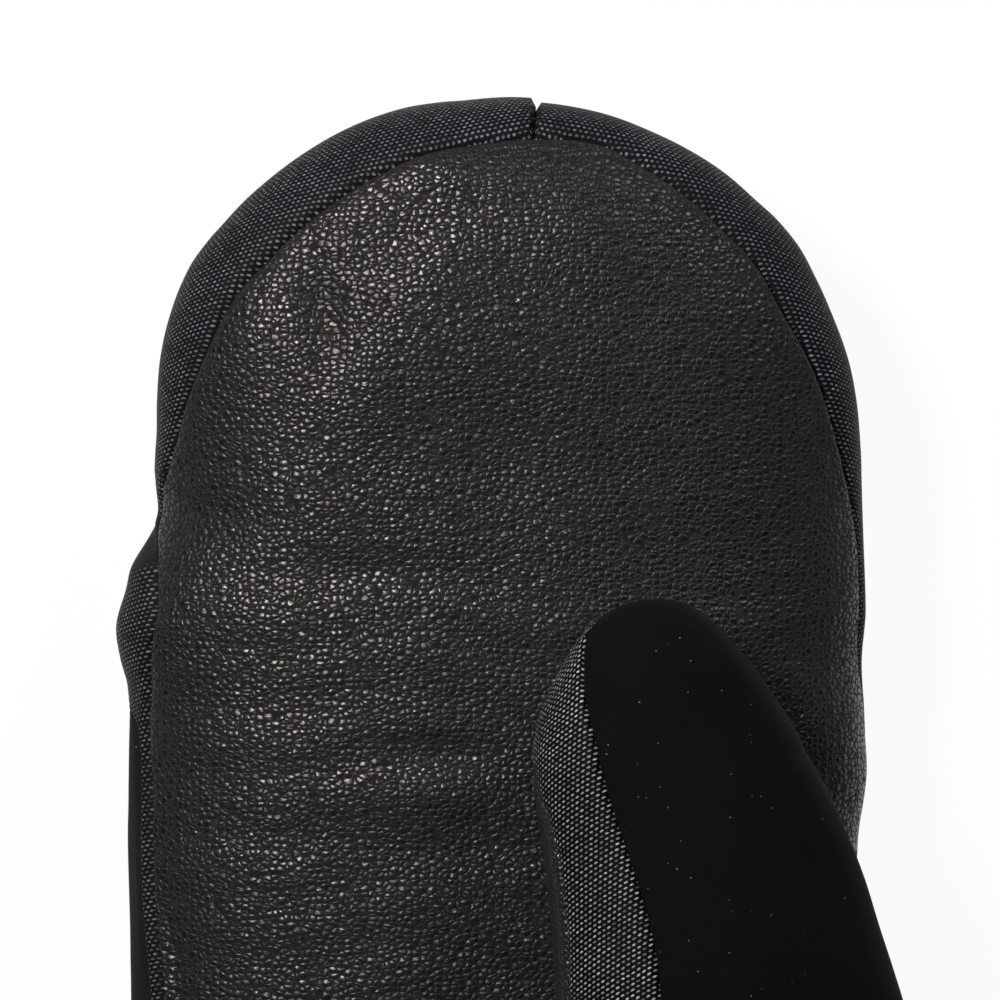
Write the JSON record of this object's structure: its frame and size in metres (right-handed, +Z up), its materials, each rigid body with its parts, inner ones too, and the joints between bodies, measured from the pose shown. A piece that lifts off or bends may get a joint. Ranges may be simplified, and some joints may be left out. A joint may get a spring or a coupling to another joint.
{
  "type": "ski mitten",
  "caption": "Insulated right-hand ski mitten lying palm up: leather palm, woven sidewalls, folded thumb, lined hand cavity, strapped wrist and flared cuff with pull loop.",
  "frame": {"origin": "centre of the flat rest patch under the back of the hand, which lies on the surface", "axes": "+Y from the cuff to the fingertips, +X to the thumb side, +Z up out of the palm"},
  "size_m": [0.1348, 0.3357, 0.0817],
  "materials": {
    "leather": "full-grain, pebbled, satin black",
    "nylon_weave": "coarse ballistic plain weave, matte black",
    "softshell": "smooth matte black softshell",
    "wadding": "soft white polyester wadding",
    "membrane": "thin waterproof membrane",
    "lining": "brushed black fleece",
    "webbing": "black ribbed webbing",
    "ring": "black acetal",
    "elastic": "woven elastic",
    "touch_tape": "black hook-and-loop tape",
    "pull_tab": "matte black rubber",
    "binding": "black bound edge"
  },
  "bodies": {
    "hand": {"palm_leather": "leather", "hand_little_sidewall": "nylon_weave", "hand_index_sidewall": "nylon_weave", "knuckle_nylon": "nylon_weave", "back_softshell": "softshell", "thumb_root_softshell": "softshell", "hand_wadding": "wadding", "wrist_elastic": "elastic", "hand_membrane": "membrane", "hand_lining": "lining", "wrist_strap": "webbing", "strap_loop_tape": "touch_tape", "slot_ring": "ring", "ring_keeper": "webbing"},
    "fingers": {"finger_palm_leather": "leather", "finger_little_sidewall": "nylon_weave", "finger_index_sidewall": "nylon_weave", "finger_back_nylon": "nylon_weave", "finger_wadding": "wadding", "finger_membrane": "membrane", "finger_lining": "lining"},
    "thumb": {"thumb_softshell": "softshell", "thumb_nylon": "nylon_weave", "thumb_leather": "leather", "thumb_wadding": "wadding", "thumb_membrane": "membrane", "thumb_lining": "lining"},
    "cuff": {"cuff_palm_nylon": "nylon_weave", "cuff_back_softshell": "softshell", "cuff_wadding": "wadding", "cuff_lining": "lining", "hem_binding": "binding"},
    "strap_end": {"strap_end": "webbing", "strap_hook_tape": "touch_tape", "strap_pull_tab": "pull_tab"},
    "pull_loop": {"pull_loop": "webbing"}
  },
  "joints": [
    {"name": "finger_curl", "type": "hinge", "parent": "hand", "child": "fingers", "pos_m": [0, 0.04615, 0.047], "axis": [1, 0, 0], "range_deg": [0, 60]},
    {"name": "thumb_swing", "type": "hinge", "parent": "hand", "child": "thumb", "pos_m": [0.07, -0.04485, 0.0642], "axis": [0, 0, -1], "range_deg": [0, 50]},
    {"name": "wrist_flex", "type": "hinge", "parent": "hand", "child": "cuff", "pos_m": [0, -0.10915, 0.0431], "axis": [-1, 0, 0], "range_deg": [0, 35]},
    {"name": "strap_peel", "type": "hinge", "parent": "hand", "child": "strap_end", "pos_m": [-0.02973, -0.095, 0.0435], "axis": [0, -1, 0], "range_deg": [0, 110]},
    {"name": "loop_swing", "type": "hinge", "parent": "cuff", "child": "pull_loop", "pos_m": [-0.012, -0.1859, 0.0046], "axis": [-1, 0, 0], "range_deg": [0, 85]}
  ]
}
